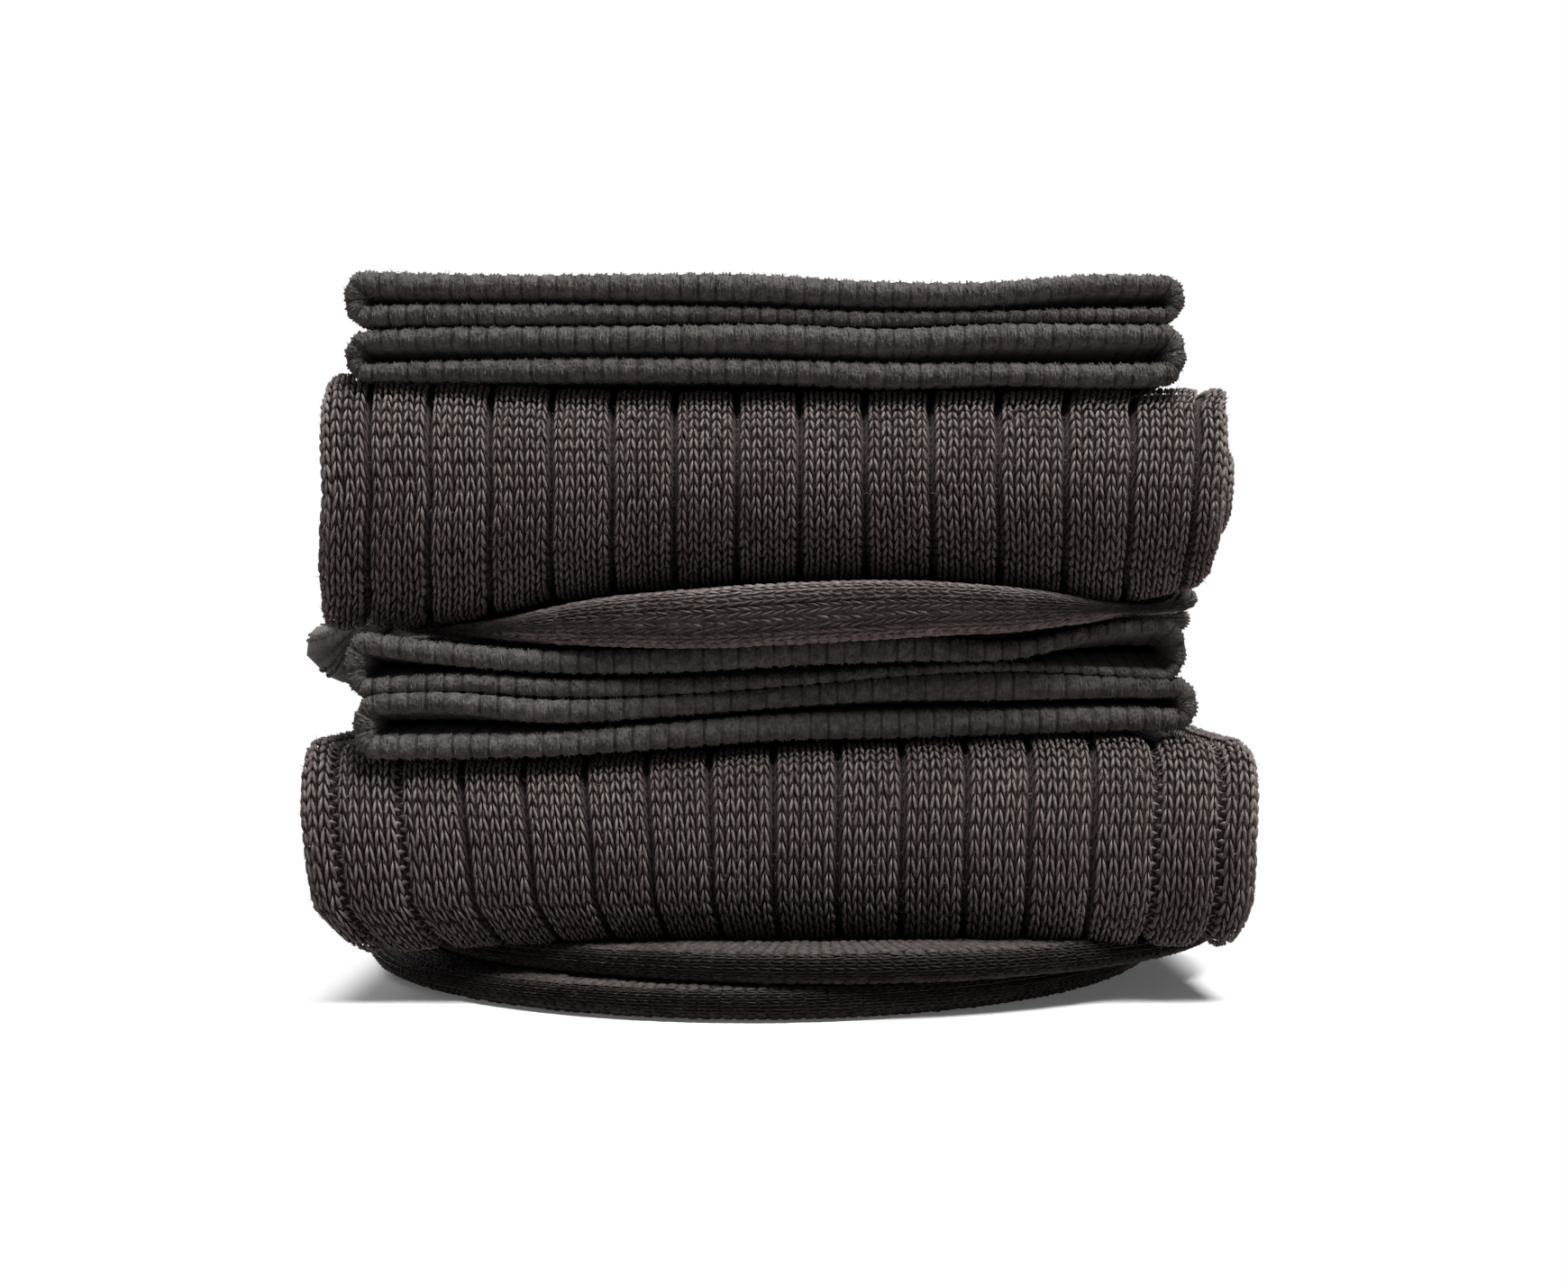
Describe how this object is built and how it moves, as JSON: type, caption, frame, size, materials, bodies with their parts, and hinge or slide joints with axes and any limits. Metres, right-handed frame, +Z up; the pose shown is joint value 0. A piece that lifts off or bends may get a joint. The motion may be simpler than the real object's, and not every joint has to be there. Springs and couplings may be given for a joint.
{
  "type": "folded sock stack",
  "caption": "Stack of folded charcoal rib-knit calf socks with open cuffs and rounded toes; each fold opens and the upper pair lifts off.",
  "frame": {"origin": "on the surface the stack rests on, under the middle of its folds", "axes": "+Z up through the stack, -Y out of the toes and the open cuffs, heels to -X"},
  "size_m": [0.1171, 0.1752, 0.0721],
  "materials": {
    "knit": "charcoal rib knit",
    "seam": "linked toe seam",
    "elastic": "covered elastic"
  },
  "bodies": {
    "lower_foot": {"lower_left_toe": "knit", "lower_left_toe_seam": "seam", "lower_left_foot": "knit", "lower_left_heel": "knit", "lower_left_heel_fold": "knit", "lower_right_toe": "knit", "lower_right_toe_seam": "seam", "lower_right_foot": "knit", "lower_right_heel": "knit", "lower_right_heel_fold": "knit"},
    "lower_ankle": {"lower_left_ankle": "knit", "lower_left_front_fold": "knit", "lower_right_ankle": "knit", "lower_right_front_fold": "knit"},
    "lower_calf": {"lower_left_calf": "knit", "lower_left_top_fold": "knit", "lower_right_calf": "knit", "lower_right_top_fold": "knit"},
    "lower_top": {"lower_left_leg_top": "knit", "lower_left_welt": "knit", "lower_left_elastic": "elastic", "lower_right_leg_top": "knit", "lower_right_welt": "knit", "lower_right_elastic": "elastic"},
    "upper_foot": {"upper_left_toe": "knit", "upper_left_toe_seam": "seam", "upper_left_foot": "knit", "upper_left_heel": "knit", "upper_left_heel_fold": "knit", "upper_right_toe": "knit", "upper_right_toe_seam": "seam", "upper_right_foot": "knit", "upper_right_heel": "knit", "upper_right_heel_fold": "knit"},
    "upper_ankle": {"upper_left_ankle": "knit", "upper_left_front_fold": "knit", "upper_right_ankle": "knit", "upper_right_front_fold": "knit"},
    "upper_calf": {"upper_left_calf": "knit", "upper_left_top_fold": "knit", "upper_right_calf": "knit", "upper_right_top_fold": "knit"},
    "upper_top": {"upper_left_leg_top": "knit", "upper_left_welt": "knit", "upper_left_elastic": "elastic", "upper_right_leg_top": "knit", "upper_right_welt": "knit", "upper_right_elastic": "elastic"}
  },
  "joints": [
    {"name": "lower_heel_fold", "type": "hinge", "parent": "lower_foot", "child": "lower_ankle", "pos_m": [0, 0.074, 0.00885], "axis": [-1, 0, 0], "range_deg": [0, 15], "deforming": ["lower_left_heel_fold", "lower_right_heel_fold"]},
    {"name": "lower_front_fold", "type": "hinge", "parent": "lower_ankle", "child": "lower_calf", "pos_m": [0, -0.074, 0.01795], "axis": [1, 0, 0], "range_deg": [0, 15], "deforming": ["lower_left_front_fold", "lower_right_front_fold"]},
    {"name": "lower_top_fold", "type": "hinge", "parent": "lower_calf", "child": "lower_top", "pos_m": [0, 0.074, 0.02705], "axis": [-1, 0, 0], "range_deg": [0, 20], "deforming": ["lower_left_top_fold", "lower_right_top_fold"]},
    {"name": "upper_pair_lift", "type": "slide", "parent": "lower_top", "child": "upper_foot", "axis": [0, 0, 1], "range_m": [0, 0.3]},
    {"name": "upper_heel_fold", "type": "hinge", "parent": "upper_foot", "child": "upper_ankle", "pos_m": [0, 0.074, 0.04525], "axis": [-1, 0, 0], "range_deg": [0, 80], "deforming": ["upper_left_heel_fold", "upper_right_heel_fold"]},
    {"name": "upper_front_fold", "type": "hinge", "parent": "upper_ankle", "child": "upper_calf", "pos_m": [0, -0.074, 0.05435], "axis": [1, 0, 0], "range_deg": [0, 90], "deforming": ["upper_left_front_fold", "upper_right_front_fold"]},
    {"name": "upper_top_fold", "type": "hinge", "parent": "upper_calf", "child": "upper_top", "pos_m": [0, 0.074, 0.06345], "axis": [-1, 0, 0], "range_deg": [0, 170], "deforming": ["upper_left_top_fold", "upper_right_top_fold"]}
  ]
}
